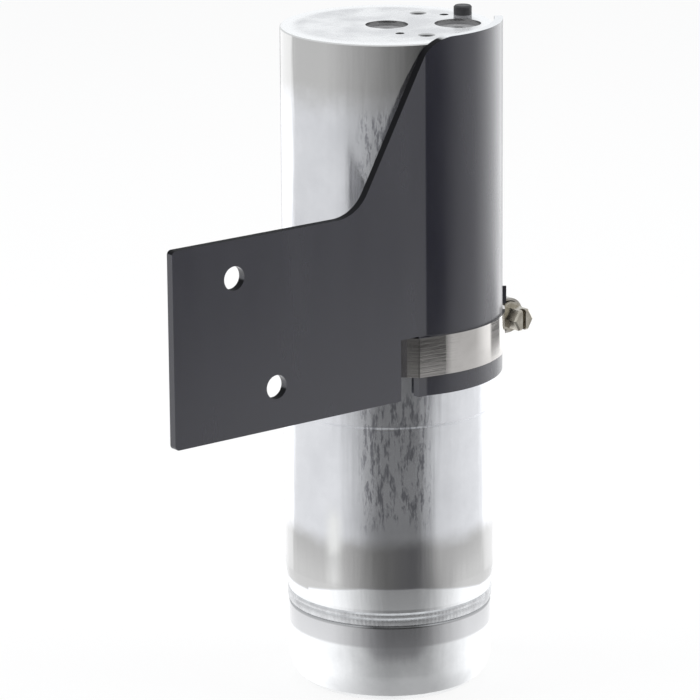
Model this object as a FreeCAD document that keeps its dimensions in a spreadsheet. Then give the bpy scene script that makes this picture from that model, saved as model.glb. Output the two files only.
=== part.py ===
"""Receiver drier of a vehicle air conditioner, on its folded bracket with a worm-drive clamp.

Frame: millimetres, +Z up along the axis of the can, z = 0 where the can stands.
The bracket's plate is parallel to XZ, lies on the -Y side and reaches towards -X.
The clamp's housing sits on the +X side.
"""

import FreeCAD, Part
import math
import os

import Sketcher

doc = FreeCAD.newDocument("receiver_drier")

# Driving dimensions: name, value, what it measures
DIMENSIONS = [
    ("can_radius", 38.0, "outer radius of the can"),
    ("can_height", 243.4, "from the standing face to the machined top"),
    ("can_wall", 2.5, "wall of the extruded can"),
    ("head_thickness", 22.0, "solid head of the can"),
    ("head_inner_round", 5.0, "round between the head and the wall, inside"),
    ("top_edge_break", 0.4, "edge break around the machined top"),
    ("neck_radius", 36.9, "outer radius of the can beside the weld"),
    ("neck_taper_top", 45.6, "height where the can starts to narrow"),
    ("neck_taper_bottom", 37.4, "height where the narrowing ends"),
    ("weld_top", 36.3, "upper toe of the weld"),
    ("weld_bottom", 31.1, "lower toe of the weld"),
    ("weld_root_height", 33.3, "lower edge of the weld's root"),
    ("weld_root_gap", 1.0, "gap between can and cap at the root"),
    ("weld_valley_height", 34.4, "height between the weld's two ripples"),
    ("weld_valley_proud", 0.05, "how far the valley stands out of the can's neck"),
    ("weld_upper_round", 1.8, "radius of the upper ripple"),
    ("weld_lower_round", 3.4, "radius of the lower ripple"),
    ("cap_radius", 36.8, "outer radius of the drawn cap"),
    ("cap_wall", 2.0, "wall of the cap"),
    ("cap_corner", 12.0, "outer round at the foot of the cap"),
    ("cap_rim_chamfer", 0.4, "chamfer of the cap below the weld"),
    ("spigot_top", 39.3, "height of the cap's spigot inside the can"),
    ("spigot_step", 30.0, "height where the cap steps in to the spigot"),
    ("spigot_gap", 0.1, "clearance between spigot and can"),
    ("port_angle", -34.7, "direction from the outlet to the inlet, degrees"),
    ("port_spacing", 25.2, "distance between outlet and inlet"),
    ("port_depth", 1.8, "depth of the seal recess of each port"),
    ("outlet_recess", 7.6, "radius of the outlet's seal recess"),
    ("outlet_bore", 3.4, "radius of the outlet's bore"),
    ("inlet_recess", 8.3, "radius of the inlet's seal recess"),
    ("inlet_bore", 3.1, "radius of the inlet's bore"),
    ("screw_hole_offset", 20.5, "M6 hole to the middle between the ports"),
    ("screw_hole_radius", 2.6, "minor radius of the M6 thread"),
    ("screw_hole_depth", 15.0, "depth of the M6 holes"),
    ("screw_hole_countersink", 0.55, "width of the countersink of the M6 holes"),
    ("pin_hole_along", 9.05, "pin hole to the middle, along the ports' line"),
    ("pin_hole_across", 16.7, "pin hole to the middle, across the ports' line"),
    ("pin_hole_radius", 1.6, "radius of the pin holes"),
    ("pin_hole_depth", 6.0, "depth of the pin holes"),
    ("peg_along", 15.45, "peg to the middle, along the ports' line"),
    ("peg_across", 13.4, "peg to the middle, across the ports' line"),
    ("peg_radius", 3.25, "radius of the peg"),
    ("peg_stand", 4.0, "height of the peg above the top"),
    ("peg_depth", 6.0, "depth of the peg in the head"),
    ("peg_edge", 0.5, "edge break of the peg"),
    ("peg_fit", 0.05, "clearance around the peg"),
    ("sheet", 3.0, "thickness of the bracket"),
    ("saddle_gap", 0.1, "clearance between can and bracket"),
    ("plate_offset", 38.8, "can axis to the plate's outer face"),
    ("plate_left", 122.7, "can axis to the plate's free end"),
    ("bend_round", 2.5, "inner radius of the bend"),
    ("saddle_end_angle", -33.9, "angle where the saddle ends, degrees"),
    ("bracket_bottom", 117.9, "height of the bracket's lower edge"),
    ("plate_top", 187.3, "height of the plate's upper edge"),
    ("saddle_top", 245.8, "height of the saddle's upper edge"),
    ("plate_corner", 1.6, "corner round of the plate"),
    ("flank_angle", 60.2, "slope of the S-shaped edge, degrees"),
    ("flank_x", 35.6, "can axis to a point of the straight flank"),
    ("flank_height", 202.1, "height of that point"),
    ("flank_low_round", 15.0, "radius where the plate's edge turns up"),
    ("flank_high_round", 13.0, "radius where the edge turns into the saddle's top"),
    ("bolt_hole_radius", 4.25, "radius of the bracket's holes, M8 clearance"),
    ("upper_hole_x", 97.05, "can axis to the upper hole"),
    ("upper_hole_height", 174.0, "height of the upper hole"),
    ("lower_hole_x", 79.66, "can axis to the lower hole"),
    ("lower_hole_height", 132.8, "height of the lower hole"),
    ("notch_right", 17.1, "can axis to the notch's right wall"),
    ("notch_width", 8.0, "width of the notch"),
    ("notch_top", 140.0, "height of the notch's closed end"),
    ("lug_bottom", 140.6, "lower end of the saddle's lug"),
    ("lug_top", 147.0, "upper end of the saddle's lug"),
    ("lug_stand", 1.5, "how far the lug stands out"),
    ("lug_width", 1.0, "thickness of the lug"),
    ("band_thickness", 0.8, "thickness of the clamp's band"),
    ("band_width", 14.3, "width of the clamp's band"),
    ("band_height", 132.3, "middle of the band"),
    ("band_gap", 0.1, "clearance between the band and what it lies on"),
    ("clamp_angle", -1.0, "angle of the clamp's housing, degrees"),
    ("band_start_angle", 16.0, "fixed end of the band before the housing's middle, degrees"),
    ("band_tail_angle", 36.0, "free end of the band past the housing's middle, degrees"),
    ("slot_width", 1.7, "width of the band's slots"),
    ("slot_length", 9.0, "length of the band's slots"),
    ("slot_lead_angle", 6.0, "slant of the band's slots, degrees"),
    ("slots_past_worm", 4, "slots of the free end beyond the worm"),
    ("housing_sheet", 0.9, "thickness of the clamp's housing"),
    ("housing_front", 13.0, "housing's middle to its end at the screw head"),
    ("housing_back", 8.0, "housing's middle to its other end"),
    ("housing_clearance", 0.35, "clearance beside the band and around the worm"),
    ("housing_step", 0.3, "clearance between the band and the housing's flanks"),
    ("foot_stand", 0.45, "gap between the housing's feet and the can"),
    ("clamp_plate_angle", 24.0, "angle of the plate under the free end, degrees"),
    ("worm_radius", 5.2, "outer radius of the worm"),
    ("worm_core", 4.1, "core radius of the worm"),
    ("worm_pitch", 3.2, "pitch of the worm and of the band's slots"),
    ("worm_turns", 5, "turns of the worm"),
    ("worm_crest", 0.8, "width of the thread at its crest"),
    ("worm_foot", 1.5, "width of the thread at the core"),
    ("worm_engagement", 0.5, "how deep the worm enters the slots"),
    ("neck_core", 3.4, "radius of the screw between worm and collar"),
    ("collar_gap", 0.2, "housing to the screw's collar"),
    ("collar_radius", 5.3, "radius of the screw's collar"),
    ("collar_thickness", 2.0, "thickness of the screw's collar"),
    ("hexagon_flats", 7.6, "across the flats of the screw head"),
    ("hexagon_height", 6.9, "height of the screw head"),
    ("hexagon_chamfer", 0.6, "chamfer around the head's face"),
    ("driver_slot_width", 1.4, "width of the driver slot"),
    ("driver_slot_depth", 2.2, "depth of the driver slot"),
    ("tube_radius", 6.0, "outer radius of the dip tube"),
    ("tube_bore", 3.6, "inner radius of the dip tube"),
    ("tube_socket", 12.0, "depth of the tube's socket in the head"),
    ("tube_fit", 0.1, "clearance around the dip tube"),
    ("tube_foot", 9.0, "height of the dip tube's lower end"),
    ("ring_groove_depth", 1.3, "depth of the O-ring groove"),
    ("ring_groove_drop", 4.0, "tube end to the middle of the groove"),
    ("ring_groove_width", 2.0, "width of the O-ring groove"),
    ("strainer_height", 27.0, "height of the strainer"),
    ("strainer_radius", 11.5, "outer radius of the strainer's rings"),
    ("strainer_ring", 3.0, "height of the strainer's end rings"),
    ("strainer_post", 2.4, "width of the strainer's posts"),
    ("strainer_posts", 4, "number of posts"),
    ("mesh_thickness", 0.6, "thickness of the mesh sleeve"),
    ("retainer_thickness", 1.5, "thickness of the perforated discs"),
    ("pack_gap", 0.2, "clearance between the pack and the can"),
    ("pad_thickness", 5.0, "thickness of the felt pads"),
    ("bed_height", 95.0, "height of the desiccant"),
    ("perforation_radius", 2.2, "radius of the holes in the discs"),
    ("perforation_rings", 3, "rings of holes in the discs"),
    ("perforation_first", 12.0, "radius of the first ring of holes"),
    ("perforation_step", 8.0, "from one ring of holes to the next"),
    ("perforation_share", 7, "more holes in each further ring"),
    ("spring_radius", 24.0, "mean radius of the spring"),
    ("spring_wire", 1.2, "radius of the spring's wire"),
    ("spring_turns", 6.5, "turns of the spring"),
]

sheet = doc.addObject("Spreadsheet::Sheet", "Sizes")
for row, (alias, value, meaning) in enumerate(DIMENSIONS, start=1):
    sheet.set(f"A{row}", meaning)
    sheet.set(f"B{row}", str(value))
    sheet.setAlias(f"B{row}", alias)
doc.recompute()


def size(alias):
    """The plain value of one cell."""
    return float(sheet.get(alias))


def cell(alias):
    """The cell as it is written in an expression."""
    return "Sizes." + alias


# How far a cut runs past what it cuts, and how near two lengths are the same
CUT_MARGIN = 1.0
SAME_LENGTH = 0.001

# Part of a turn that one face of the spring's wire covers
SPRING_SEGMENT = 0.25

# Levels and radii that several pieces share, as expressions of the cells
CAN_INNER = f"({cell('can_radius')} - {cell('can_wall')})"
HEAD_UNDER = f"({cell('can_height')} - {cell('head_thickness')})"
SPIGOT_OUTER = f"({CAN_INNER} - {cell('spigot_gap')})"
SPIGOT_INNER = f"({SPIGOT_OUTER} - {cell('cap_wall')})"
CAP_INNER = f"({cell('cap_radius')} - {cell('cap_wall')})"
WELD_ROOT_TOP = f"({cell('weld_root_height')} + {cell('weld_root_gap')})"
WELD_TOE = f"({cell('cap_radius')} - {cell('cap_rim_chamfer')})"
MIDDLE = f"({cell('port_spacing')} / 2)"
TUBE_SOCKET_RADIUS = f"({cell('tube_radius')} + {cell('tube_fit')})"
TUBE_TOP = f"({HEAD_UNDER} + {cell('tube_socket')})"
PACK_RADIUS = f"({CAN_INNER} - {cell('pack_gap')})"
PACK_BASE = cell("spigot_top")
SADDLE_INNER = f"({cell('can_radius')} + {cell('saddle_gap')})"
SADDLE_OUTER = f"({SADDLE_INNER} + {cell('sheet')})"
CLAMP_PLATE_INNER = f"({cell('can_radius')} + {cell('band_gap')} + {cell('band_thickness')})"
BAND_UPPER = f"({CLAMP_PLATE_INNER} + {cell('band_thickness')})"
BAND_UPPER_OUTER = f"({BAND_UPPER} + {cell('band_thickness')})"
WORM_AXIS = f"({BAND_UPPER_OUTER} + {cell('worm_radius')} - {cell('worm_engagement')})"


def number(expression):
    """What an expression of the cells comes to."""
    result = sheet.evalExpression(str(expression))
    return float(getattr(result, "Value", result))


def along_ports(along, across):
    """A point of the head's hole pattern, as a pair of expressions in the row frame."""
    turn = cell("port_angle")
    x = f"(({MIDDLE} + {along}) * cos({turn}) - ({across}) * sin({turn}))"
    y = f"(({MIDDLE} + {along}) * sin({turn}) + ({across}) * cos({turn}))"
    return x, y


# Sketches and features

def new_body(name):
    body = doc.addObject("PartDesign::Body", name)
    body.Label = name
    return body


def origin_feature(body, role):
    return [item for item in body.Origin.OriginFeatures if item.Role == role][0]


def new_sketch(body, name, plane, offset=None):
    """A sketch on one of the body's own planes, moved out along the plane's normal."""
    sketch = body.newObject("Sketcher::SketchObject", name)
    sketch.AttachmentSupport = [(origin_feature(body, plane), "")]
    sketch.MapMode = "FlatFace"
    if offset is not None:
        sketch.setExpression("AttachmentOffset.Base.z", offset)
    return sketch


def pin_point(sketch, geometry, point, x, y):
    """Hold one point of the sketch at two distances from its origin."""
    for kind, expression in (("DistanceX", x), ("DistanceY", y)):
        value = number(expression)
        if abs(value) < 1e-9 and expression == "0":
            axis = -2 if kind == "DistanceX" else -1
            sketch.addConstraint(Sketcher.Constraint("PointOnObject", geometry, point, axis))
        else:
            index = sketch.addConstraint(
                Sketcher.Constraint(kind, -1, 1, geometry, point, value)
            )
            sketch.setExpression(f"Constraints[{index}]", expression)


def arc_between(start, end, radius, bulge):
    """The short arc from start to end. Its middle lies right of the way if bulge is 1, else left."""
    chord = end - start
    half = chord.Length / 2
    across = FreeCAD.Vector(chord.y, -chord.x, 0).normalize() * bulge
    rise = math.sqrt(max(radius * radius - half * half, 0.0))
    centre = (start + end) / 2 - across * rise
    first, last = (start, end) if bulge == 1 else (end, start)

    def angle(spot):
        return math.atan2(spot.y - centre.y, spot.x - centre.x)

    full = Part.Circle(centre, FreeCAD.Vector(0, 0, 1), radius)
    return Part.ArcOfCircle(full, angle(first), angle(last))


def closed_outline(sketch, points):
    """A closed outline. Each entry is (x, y), or (x, y, radius, bulge) where an arc starts."""
    spots = [FreeCAD.Vector(number(entry[0]), number(entry[1]), 0) for entry in points]
    first = sketch.GeometryCount
    for index, entry in enumerate(points):
        start = spots[index]
        end = spots[(index + 1) % len(spots)]
        if len(entry) == 4:
            sketch.addGeometry(arc_between(start, end, number(entry[2]), entry[3]), False)
        else:
            sketch.addGeometry(Part.LineSegment(start, end), False)
    ends = []
    for index in range(len(points)):
        curve = sketch.Geometry[first + index]
        forward = curve.StartPoint.distanceToPoint(spots[index]) < 1e-6
        ends.append((1, 2) if forward else (2, 1))
    for index, entry in enumerate(points):
        following = (index + 1) % len(points)
        here = first + index
        sketch.addConstraint(
            Sketcher.Constraint(
                "Coincident", here, ends[index][1], first + following, ends[following][0]
            )
        )
        pin_point(sketch, here, ends[index][0], entry[0], entry[1])
        if len(entry) == 4:
            index_of_radius = sketch.addConstraint(
                Sketcher.Constraint("Radius", here, number(entry[2]))
            )
            sketch.setExpression(f"Constraints[{index_of_radius}]", entry[2])


def circle(sketch, x, y, radius):
    geometry = sketch.addGeometry(
        Part.Circle(
            FreeCAD.Vector(number(x), number(y), 0), FreeCAD.Vector(0, 0, 1), number(radius)
        ),
        False,
    )
    pin_point(sketch, geometry, 3, x, y)
    index = sketch.addConstraint(Sketcher.Constraint("Radius", geometry, number(radius)))
    sketch.setExpression(f"Constraints[{index}]", radius)


def drawn_axis(sketch, x):
    """A construction line along the sketch's vertical, for features that turn about it."""
    line = sketch.addGeometry(
        Part.LineSegment(FreeCAD.Vector(number(x), 0, 0), FreeCAD.Vector(number(x), 1, 0)), True
    )
    sketch.addConstraint(Sketcher.Constraint("Vertical", line))
    pin_point(sketch, line, 1, x, "0")
    sketch.addConstraint(Sketcher.Constraint("DistanceY", line, 1, line, 2, 1.0))


def pad(body, sketch, length, name):
    feature = body.newObject("PartDesign::Pad", name)
    feature.Profile = sketch
    feature.setExpression("Length", length)
    return feature


def pocket(body, sketch, length, name, reverse=False):
    """A cut against the sketch's normal, or along it if reversed."""
    feature = body.newObject("PartDesign::Pocket", name)
    feature.Profile = sketch
    feature.Reversed = reverse
    feature.setExpression("Length", length)
    return feature


def revolve(body, sketch):
    feature = body.newObject("PartDesign::Revolution", sketch.Name + "_turned")
    feature.Profile = sketch
    feature.ReferenceAxis = (sketch, ["V_Axis"])
    feature.Angle = 360
    return feature


def turned_piece(name, points):
    """A piece of revolution about Z, from its half section in X and Z."""
    body = new_body(name)
    sketch = new_sketch(body, name + "_section", "XZ_Plane")
    closed_outline(sketch, points)
    revolve(body, sketch)
    return body


def drilled(body, name, level, x, y, radius, depth, reverse=False):
    """A round blind hole down from a level, or up from it."""
    sketch = new_sketch(body, name + "_sketch", "XY_Plane", level)
    circle(sketch, x, y, radius)
    return pocket(body, sketch, depth, name, reverse)


# Can: extruded in one piece with its head, then machined

def make_can():
    top = cell("can_height")
    edge = cell("top_edge_break")
    radius = cell("can_radius")
    inner_round = cell("head_inner_round")
    body = turned_piece("canister_body", [
        ("0", top),
        (f"{radius} - {edge}", top),
        (radius, f"{top} - {edge}"),
        (radius, cell("neck_taper_top")),
        (cell("neck_radius"), cell("neck_taper_bottom")),
        (cell("neck_radius"), cell("weld_top")),
        (CAN_INNER, WELD_ROOT_TOP),
        (CAN_INNER, f"{HEAD_UNDER} - {inner_round}", inner_round, 1),
        (f"{CAN_INNER} - {inner_round}", HEAD_UNDER),
        ("0", HEAD_UNDER),
    ])
    outlet = along_ports(f"(-{MIDDLE})", "0")
    inlet = along_ports(MIDDLE, "0")
    through = f"({cell('head_thickness')} + {CUT_MARGIN})"
    drilled(body, "outlet_recess", top, "0", "0", cell("outlet_recess"), cell("port_depth"))
    drilled(body, "outlet_bore", top, "0", "0", cell("outlet_bore"), through)
    drilled(body, "inlet_recess", top, *inlet, cell("inlet_recess"), cell("port_depth"))
    drilled(body, "inlet_bore", top, *inlet, cell("inlet_bore"), through)
    drilled(
        body, "tube_socket", HEAD_UNDER, "0", "0", TUBE_SOCKET_RADIUS, cell("tube_socket"), True
    )
    for side, name in ((1, "far"), (-1, "near")):
        x, y = along_ports("0", f"({side} * {cell('screw_hole_offset')})")
        drilled(
            body, f"screw_hole_{name}", top, x, y, cell("screw_hole_radius"),
            cell("screw_hole_depth"),
        )
        x, y = along_ports(
            f"({side} * {cell('pin_hole_along')})", f"({side} * {cell('pin_hole_across')})"
        )
        drilled(
            body, f"pin_hole_{name}", top, x, y, cell("pin_hole_radius"), cell("pin_hole_depth")
        )
    peg = along_ports(cell("peg_along"), cell("peg_across"))
    last = drilled(
        body, "peg_hole", top, *peg, f"{cell('peg_radius')} + {cell('peg_fit')}",
        cell("peg_depth"),
    )
    doc.recompute()
    mouths = [
        f"Edge{index}"
        for index, edge in enumerate(last.Shape.Edges, start=1)
        if isinstance(edge.Curve, Part.Circle)
        and abs(edge.Curve.Radius - size("screw_hole_radius")) < SAME_LENGTH
        and abs(edge.CenterOfMass.z - size("can_height")) < SAME_LENGTH
    ]
    countersink = body.newObject("PartDesign::Chamfer", "screw_hole_mouths")
    countersink.Base = (last, mouths)
    countersink.setExpression("Size", cell("screw_hole_countersink"))
    return body


def make_cap():
    corner = cell("cap_corner")
    wall = cell("cap_wall")
    radius = cell("cap_radius")
    chamfer = cell("cap_rim_chamfer")
    inner_corner = f"({corner} - {wall})"
    return turned_piece("bottom_cap", [
        ("0", "0"),
        (f"{radius} - {corner}", "0", corner, 1),
        (radius, corner),
        (radius, f"{cell('weld_bottom')} - {chamfer}"),
        (WELD_TOE, cell("weld_bottom")),
        (SPIGOT_OUTER, cell("weld_root_height")),
        (SPIGOT_OUTER, cell("spigot_top")),
        (SPIGOT_INNER, cell("spigot_top")),
        (SPIGOT_INNER, cell("weld_root_height")),
        (CAP_INNER, cell("spigot_step")),
        (CAP_INNER, corner, inner_corner, -1),
        (f"{CAP_INNER} - {inner_corner}", wall),
        ("0", wall),
    ])


def make_weld():
    """One pass of weld that fills the groove between can and cap, with two ripples."""
    return turned_piece("weld_bead", [
        (WELD_TOE, cell("weld_bottom"), cell("weld_lower_round"), 1),
        (
            f"{cell('neck_radius')} + {cell('weld_valley_proud')}",
            cell("weld_valley_height"), cell("weld_upper_round"), 1,
        ),
        (cell("neck_radius"), cell("weld_top")),
        (CAN_INNER, WELD_ROOT_TOP),
        (SPIGOT_OUTER, WELD_ROOT_TOP),
        (SPIGOT_OUTER, cell("weld_root_height")),
    ])


def make_peg():
    body = new_body("locating_peg")
    x, y = along_ports(cell("peg_along"), cell("peg_across"))
    floor = f"({cell('can_height')} - {cell('peg_depth')})"
    sketch = new_sketch(body, "peg_section", "XY_Plane", floor)
    circle(sketch, x, y, cell("peg_radius"))
    shaft = pad(body, sketch, f"{cell('peg_depth')} + {cell('peg_stand')}", "peg_shaft")
    doc.recompute()
    levels = [edge.CenterOfMass.z for edge in shaft.Shape.Edges]
    rim = levels.index(max(levels)) + 1
    edge_break = body.newObject("PartDesign::Chamfer", "peg_chamfer")
    edge_break.Base = (shaft, [f"Edge{rim}"])
    edge_break.setExpression("Size", cell("peg_edge"))
    return body


# Bracket: one blank, bent once and rolled into a saddle

def bracket_plan():
    """The folded sheet seen from above: plate, bend and saddle."""
    plate = f"(-{cell('plate_offset')})"
    inner_plate = f"(-{cell('plate_offset')} + {cell('sheet')})"
    left = f"(-{cell('plate_left')})"
    end = cell("saddle_end_angle")
    bend = cell("bend_round")
    far_bend = f"({bend} + {cell('sheet')})"
    # the bend is tangent to the plate and to the saddle, and its centre lies outside the can
    reach = f"({SADDLE_OUTER} + {bend})"
    centre_y = f"(-{cell('plate_offset')} - {bend})"
    centre_x = f"(-sqrt({reach} * {reach} - {centre_y} * {centre_y}))"

    def toward_centre(radius):
        return f"({centre_x} * {radius} / {reach})", f"({centre_y} * {radius} / {reach})"

    return [
        (left, plate),
        (centre_x, plate, bend, -1),
        (*toward_centre(SADDLE_OUTER), SADDLE_OUTER, 1),
        (f"{SADDLE_OUTER} * cos({end})", f"{SADDLE_OUTER} * sin({end})"),
        (f"{SADDLE_INNER} * cos({end})", f"{SADDLE_INNER} * sin({end})", SADDLE_INNER, -1),
        (*toward_centre(SADDLE_INNER), far_bend, 1),
        (centre_x, inner_plate),
        (left, inner_plate),
    ]


def bracket_waste():
    """What is cut from the blank above the plate, up to the S-shaped edge, in X and Z."""
    slope = cell("flank_angle")
    low = cell("flank_low_round")
    high = cell("flank_high_round")
    top = cell("saddle_top")
    plate_top = cell("plate_top")
    point_x = f"(-{cell('flank_x')})"
    point_z = cell("flank_height")
    # centre of the lower round, tangent to the plate's edge and to the flank
    low_z = f"({plate_top} + {low})"
    low_x = f"({point_x} + ({low_z} - {point_z}) / tan({slope}) - {low} / sin({slope}))"
    # centre of the upper round, tangent to the saddle's top and to the flank
    high_z = f"({top} - {high})"
    high_x = f"({point_x} + ({high_z} - {point_z}) / tan({slope}) + {high} / sin({slope}))"
    beyond = f"(-{cell('plate_left')} - {cell('sheet')})"
    above = f"({top} + {cell('sheet')})"
    return [
        (beyond, plate_top),
        (low_x, plate_top, low, 1),
        (f"{low_x} + {low} * sin({slope})", f"{low_z} - {low} * cos({slope})"),
        (f"{high_x} - {high} * sin({slope})", f"{high_z} + {high} * cos({slope})", high, -1),
        (high_x, top),
        (high_x, above),
        (beyond, above),
    ]


def make_bracket():
    body = new_body("mounting_bracket")
    plan = new_sketch(body, "bracket_plan", "XY_Plane", cell("bracket_bottom"))
    closed_outline(plan, bracket_plan())
    pad(body, plan, f"{cell('saddle_top')} - {cell('bracket_bottom')}", "folded_sheet")
    reach = f"({cell('plate_offset')} + {cell('sheet')})"
    waste = new_sketch(body, "s_edge", "XZ_Plane")
    closed_outline(waste, bracket_waste())
    pocket(body, waste, reach, "s_edge_cut", True)
    holes = new_sketch(body, "bolt_holes", "XZ_Plane")
    for which in ("upper", "lower"):
        circle(
            holes, f"(-{cell(which + '_hole_x')})", cell(which + "_hole_height"),
            cell("bolt_hole_radius"),
        )
    pocket(body, holes, reach, "bolt_hole_cut", True)
    notch = new_sketch(body, "band_notch", "XZ_Plane")
    right = f"(-{cell('notch_right')})"
    left = f"(-{cell('notch_right')} - {cell('notch_width')})"
    below = f"({cell('bracket_bottom')} - {CUT_MARGIN})"
    closed_outline(notch, [
        (left, below), (right, below), (right, cell("notch_top")), (left, cell("notch_top")),
    ])
    cut = pocket(body, notch, reach, "band_notch_cut", True)
    doc.recompute()
    corners = []
    for index, edge in enumerate(cut.Shape.Edges, start=1):
        middle = edge.CenterOfMass
        across = abs(edge.BoundBox.YLength - size("sheet")) < SAME_LENGTH
        if across and abs(middle.x + size("plate_left")) < SAME_LENGTH:
            corners.append(f"Edge{index}")
    rounding = body.newObject("PartDesign::Fillet", "plate_corners")
    rounding.Base = (cut, corners)
    rounding.setExpression("Radius", cell("plate_corner"))
    # keeper lug at the saddle's rear edge, just above the band
    lug = new_sketch(body, "lug_plan", "XY_Plane", cell("lug_bottom"))
    end = cell("saddle_end_angle")
    width = f"({end} - {cell('lug_width')} / {SADDLE_OUTER} * 180 / pi)"
    tip = f"({SADDLE_OUTER} + {cell('lug_stand')})"
    root = f"({SADDLE_OUTER} - {cell('lug_stand')})"
    closed_outline(lug, [
        (f"{root} * cos({width})", f"{root} * sin({width})"),
        (f"{tip} * cos({width})", f"{tip} * sin({width})"),
        (f"{tip} * cos({end})", f"{tip} * sin({end})"),
        (f"{root} * cos({end})", f"{root} * sin({end})"),
    ])
    pad(body, lug, f"{cell('lug_top')} - {cell('lug_bottom')}", "lug")
    return body


# Clamp: band, housing, plate and worm screw

def leaving_angle(first, first_radius, second, second_radius):
    """Angle of the common tangent's contact, for a belt running anticlockwise."""
    line = second - first
    turn = math.acos(min(1.0, (first_radius - second_radius) / line.Length))
    return math.atan2(line.y, line.x) - turn


def arc_edge(centre, radius, start, end):
    """An arc in plan about a centre, anticlockwise from start to end, in radians."""
    def spot(angle):
        return centre + FreeCAD.Vector(math.cos(angle), math.sin(angle), 0) * radius

    return Part.Arc(spot(start), spot((start + end) / 2), spot(end)).toShape()


def band_seats():
    """The round seats that the band runs over, as (centre, radius, start, end)."""
    axis = FreeCAD.Vector(0, 0, 0)
    gap = size("band_gap")
    middle = math.radians(size("clamp_angle"))
    lower = size("can_radius") + gap
    outer = number(SADDLE_OUTER)
    notch = FreeCAD.Vector(-size("notch_right"), -size("plate_offset"), 0)
    end = math.radians(size("saddle_end_angle"))
    rear = FreeCAD.Vector(math.cos(end), math.sin(end), 0) * outer
    upper = number(BAND_UPPER)
    start = middle - math.radians(size("band_start_angle"))
    # each angle keeps growing along the band, which goes round once and a bit more
    off_can = leaving_angle(axis, lower, notch, gap) + math.tau
    onto_saddle = leaving_angle(notch, gap, axis, outer + gap) + math.tau
    off_saddle = end + math.tau
    onto_plate = leaving_angle(rear, gap, axis, upper) + math.tau
    tail = middle + math.radians(size("band_tail_angle")) + math.tau
    return [
        (axis, lower, start, off_can),
        (notch, gap, off_can, onto_saddle),
        (axis, outer + gap, onto_saddle, off_saddle),
        (rear, gap, off_saddle, onto_plate),
        (axis, upper, onto_plate, tail),
    ]


def belt_edges(seats, lift):
    """The edges of one face of the band, lifted off its seats."""
    edges = []
    for centre, radius, start, end in seats:
        arc = arc_edge(centre, radius + lift, start, end)
        if edges:
            before = edges[-1].lastVertex().Point
            after = arc.firstVertex().Point
            if before.distanceToPoint(after) > SAME_LENGTH:
                edges.append(Part.LineSegment(before, after).toShape())
        edges.append(arc)
    return edges


def make_band():
    seats = band_seats()
    thickness = size("band_thickness")
    width = size("band_width")
    inner = belt_edges(seats, 0.0)
    outer = belt_edges(seats, thickness)
    fixed_end = Part.LineSegment(inner[0].firstVertex().Point, outer[0].firstVertex().Point)
    free_end = Part.LineSegment(inner[-1].lastVertex().Point, outer[-1].lastVertex().Point)
    outline = inner + [free_end.toShape()] + outer[::-1] + [fixed_end.toShape()]
    face = Part.Face(Part.Wire(Part.__sortEdges__(outline)))
    solid = face.extrude(FreeCAD.Vector(0, 0, width))
    solid.translate(FreeCAD.Vector(0, 0, size("band_height") - width / 2))
    # slanted slots that the worm runs in, one pitch apart along the free end
    middle_radius = number(BAND_UPPER) + thickness / 2
    pitch = size("worm_pitch")
    turns = size("worm_turns")
    length = size("slot_length")
    slot_width = size("slot_width")
    for index in range(int(turns + size("slots_past_worm")) + 1):
        along = (index - turns / 2) * pitch
        slot = Part.makeBox(
            2 * thickness, slot_width, length,
            FreeCAD.Vector(-thickness, -slot_width / 2, -length / 2),
        )
        slot.rotate(FreeCAD.Vector(0, 0, 0), FreeCAD.Vector(1, 0, 0), size("slot_lead_angle"))
        slot.translate(FreeCAD.Vector(middle_radius, 0, size("band_height")))
        slot.rotate(
            FreeCAD.Vector(0, 0, 0), FreeCAD.Vector(0, 0, 1),
            size("clamp_angle") + math.degrees(along / middle_radius),
        )
        solid = solid.cut(slot)
    band = doc.addObject("Part::Feature", "clamp_band")
    band.Label = "clamp_band"
    band.Shape = solid
    band.Placement = FreeCAD.Placement()
    return band


def turn_to_clamp(body):
    """Turn a piece that is drawn on the +X side to the clamp's own angle."""
    body.Placement = FreeCAD.Placement(
        FreeCAD.Vector(0, 0, 0), FreeCAD.Rotation(FreeCAD.Vector(0, 0, 1), size("clamp_angle"))
    )
    body.setExpression("Placement.Rotation.Angle", cell("clamp_angle"))


def make_housing():
    """Folded arch over the worm with a flank and a foot on each side of the band."""
    body = new_body("clamp_housing")
    turn_to_clamp(body)
    wall = cell("housing_sheet")
    axis = WORM_AXIS
    inner = f"({cell('worm_radius')} + {cell('housing_clearance')})"
    outer = f"({inner} + {wall})"
    flank = f"({BAND_UPPER_OUTER} + {cell('housing_step')})"
    flank_top = f"({flank} + {wall})"
    foot = f"({cell('can_radius')} + {cell('foot_stand')})"
    side = f"({cell('band_width')} / 2 + {cell('housing_clearance')})"
    side_outer = f"({side} + {wall})"
    middle = cell("band_height")

    def at(x, lift, sign):
        return x, f"({middle} + {sign} * {lift})"

    section = new_sketch(body, "housing_section", "XZ_Plane", f"(-{cell('housing_back')})")
    closed_outline(section, [
        at(foot, side_outer, 1),
        at(foot, side, 1),
        at(flank, side, 1),
        at(flank, inner, 1),
        (*at(axis, inner, 1), inner, -1),
        (f"({axis} + {inner})", middle, inner, -1),
        at(axis, inner, -1),
        at(flank, inner, -1),
        at(flank, side, -1),
        at(foot, side, -1),
        at(foot, side_outer, -1),
        at(flank_top, side_outer, -1),
        at(flank_top, outer, -1),
        (*at(axis, outer, -1), outer, 1),
        (f"({axis} + {outer})", middle, outer, 1),
        at(axis, outer, 1),
        at(flank_top, outer, 1),
        at(flank_top, side_outer, 1),
    ])
    pad(body, section, f"{cell('housing_front')} + {cell('housing_back')}", "folded_housing")
    return body


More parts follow.
